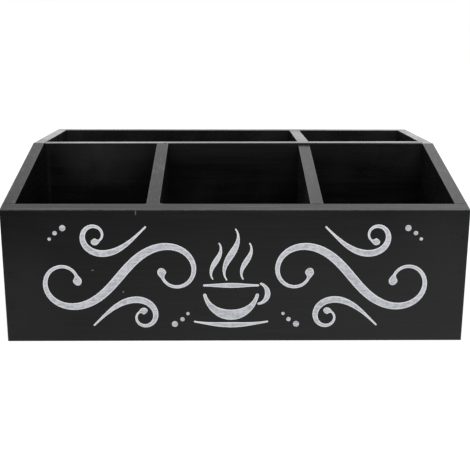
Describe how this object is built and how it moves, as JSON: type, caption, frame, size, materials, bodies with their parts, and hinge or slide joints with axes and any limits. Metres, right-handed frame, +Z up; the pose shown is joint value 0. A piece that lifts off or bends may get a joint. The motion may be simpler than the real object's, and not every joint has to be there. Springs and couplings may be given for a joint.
{
  "type": "coffee station organizer",
  "caption": "Open wooden countertop organizer box with a rim sloping down to the front, divided into front bins and rear bins, painted satin black with a pale scroll on the front.",
  "frame": {"origin": "middle of the footprint, on the surface that the box stands on", "axes": "+X to the right along the front, +Y from the front board to the back board, +Z up"},
  "size_m": [0.305, 0.2001, 0.1204],
  "materials": {
    "black_paint": "satin black paint on wood",
    "white_paint": "matt off-white paint, dry-brushed",
    "brad_steel": "bright wire"
  },
  "bodies": {
    "root": {"front_board": "black_paint", "back_board": "black_paint", "left_side": "black_paint", "right_side": "black_paint", "bottom_board": "black_paint", "cross_board": "black_paint", "left_front_divider": "black_paint", "right_front_divider": "black_paint", "rear_divider": "black_paint", "front_corner_brads": "brad_steel", "back_corner_brads": "brad_steel", "cross_board_brads": "brad_steel", "divider_brads": "brad_steel", "bottom_edge_brads": "brad_steel", "underside_brads": "brad_steel", "brad_filler": "black_paint", "scroll_paint": "white_paint"}
  },
  "joints": []
}
